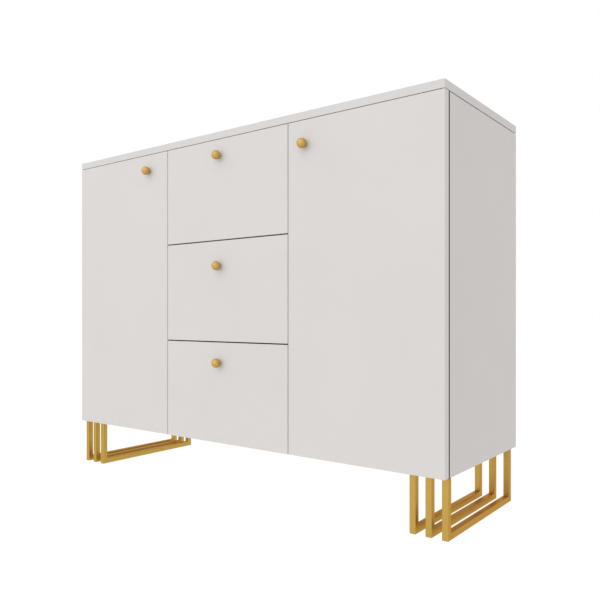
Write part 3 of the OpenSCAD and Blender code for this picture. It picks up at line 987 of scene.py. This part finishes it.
def back_nails():
    """Small flat nail heads around the edge of the back panel."""
    low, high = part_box("back_panel")
    head_r, head_h, inset, pitch = 2.2 * MM, 0.5 * MM, 5 * MM, 140 * MM
    outline = fillet([(0, 0), (0, head_r), (head_h, head_r), (head_h, 0)], [0, 0, 0.2 * MM, 0])
    template = turned("nail", outline, THIN_FLATS)
    spots = []
    across = round((high.x - low.x - 2 * inset) / pitch)
    up = round((high.z - low.z - 2 * inset) / pitch)
    for k in range(across + 1):
        x = low.x + inset + (high.x - low.x - 2 * inset) * k / across
        spots += [(x, low.z + inset), (x, high.z - inset)]
    for k in range(1, up):
        z = low.z + inset + (high.z - low.z - 2 * inset) * k / up
        spots += [(x, z) for x in (low.x + inset, high.x - inset, -divider_x, divider_x)]
    places = [axis_place((x, high.y, z), (0, 1, 0)) for x, z in spots]
    stamped("back_nails", template, places, nail_steel, CABINET, "fastener_zinc")


back_nails()


# ---------------------------------------------------------------- knobs


TURNED_SMOOTH_UP_TO = 50
knob_screw = pan_screw(head_r=4 * MM, head_h=2.4 * MM, shank_r=2 * MM, length=31 * MM)


def knob_profile(length, ball_r):
    """A short neck that flares into a ball."""
    centre = length - ball_r
    neck_r, flare = 4.0 * MM, 0.5 * MM
    meet = centre - math.sqrt(ball_r ** 2 - (neck_r + flare) ** 2)
    neck = [(0, 0), (0, neck_r), (meet - flare, neck_r), (meet, neck_r + flare)]
    points = fillet(neck, [0, 0.15 * MM, 0.4 * MM, 0])
    start = math.acos((meet - centre) / ball_r)
    steps = 40
    for k in range(1, steps + 1):
        angle = start * (1 - k / steps)
        points.append((centre + ball_r * math.cos(angle), ball_r * math.sin(angle) if k < steps else 0))
    return points


def knob(node, front_node, body):
    """A turned knob on a front, and the machine screw that holds it from behind."""
    low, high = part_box(node)
    face_y, inner_y = (corner.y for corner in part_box(front_node))
    x, z = (low.x + high.x) / 2, (low.z + high.z) / 2
    bm = bmesh.new()
    profile = knob_profile(face_y - low.y, (high.x - low.x) / 2)
    lathe(bm, profile, axis_place((x, face_y, z), (0, -1, 0)), WIDE_FLATS)
    hand_in(finish_mesh(node + "_turned", bm, gold_knob, TURNED_SMOOTH_UP_TO), body, "gold_knob", node)
    place = axis_place((x, inner_y, z), (0, 1, 0))
    stamped(node + "_screw", knob_screw, [place], zinc, body, "fastener_zinc")


for side_name in SIDES:
    knob(f"door_{side_name}_knob", f"door_{side_name}", f"door_{side_name}")
for row_name in ROWS:
    knob(f"drawer_{row_name}_knob", f"drawer_{row_name}_front", f"drawer_{row_name}")


# ---------------------------------------------------------------- floor, light and camera


FLOOR_R = 40.0
FLOOR_T = 0.05
FLOOR_GLOW = 0.93
SKY_STRENGTH = 1.0

SUN_DIRECTION = Vector((0.2, 1.0, -0.5))
SUN_STRENGTH = 1.6
SUN_COLOUR = (0.93, 0.983, 1.0)
SUN_WIDTH = math.radians(100)

# The camera's place, its distance in front of the fronts, and its turn to the left
CAMERA_X, CAMERA_Z = 1.1438, 0.4504
CAMERA_AHEAD = 1.1844
CAMERA_TURN = math.radians(37.25)

# The lens, and its shift as a share of the picture's width
SENSOR_MM, LENS_MM = 36.0, 38.94
SHIFT_UP = 0.02425


def studio():
    """A wide white floor under an even white sky, and one broad soft sun from above the front left."""
    bm = bmesh.new()
    lathe(bm, [(-FLOOR_T, 0), (-FLOOR_T, FLOOR_R), (0, FLOOR_R), (0, 0)], IDENTITY, WIDE_FLATS)
    n = Nodes("paper")
    n.feed(n.ramp(n.noise(1.5), [(0.12, 0.12, 0.12), (0.13, 0.13, 0.13)]), "Base Color")
    n.set(Roughness=0.9, Specular_IOR_Level=0.0, Emission_Color=(1, 1, 1, 1), Emission_Strength=FLOOR_GLOW)
    finish_mesh("floor", bm, n.material)

    world = bpy.data.worlds.new("studio")
    bpy.context.scene.world = world
    world.use_nodes = True
    background = world.node_tree.nodes["Background"]
    background.inputs["Color"].default_value = (1.0, 1.0, 1.0, 1)
    background.inputs["Strength"].default_value = SKY_STRENGTH

    data = bpy.data.lights.new("key", "SUN")
    data.energy = SUN_STRENGTH
    data.color = SUN_COLOUR
    data.angle = SUN_WIDTH
    light = bpy.data.objects.new("key", data)
    light.rotation_euler = SUN_DIRECTION.to_track_quat("-Z", "Y").to_euler()
    bpy.context.scene.collection.objects.link(light)


def camera():
    """Stands low, in front of the cabinet and beyond its right side, and looks level to the left."""
    data = bpy.data.cameras.new("camera")
    data.sensor_width = SENSOR_MM
    data.lens = LENS_MM
    data.shift_y = SHIFT_UP
    data.clip_start, data.clip_end = 0.01, 60.0
    obj = bpy.data.objects.new("camera", data)
    obj.location = (CAMERA_X, front_y - CAMERA_AHEAD, CAMERA_Z)
    obj.rotation_euler = (math.radians(90), 0, CAMERA_TURN)
    bpy.context.scene.collection.objects.link(obj)
    bpy.context.scene.camera = obj


studio()
camera()
bpy.context.scene.view_settings.view_transform = "Standard"
bpy.context.scene.view_settings.look = "None"
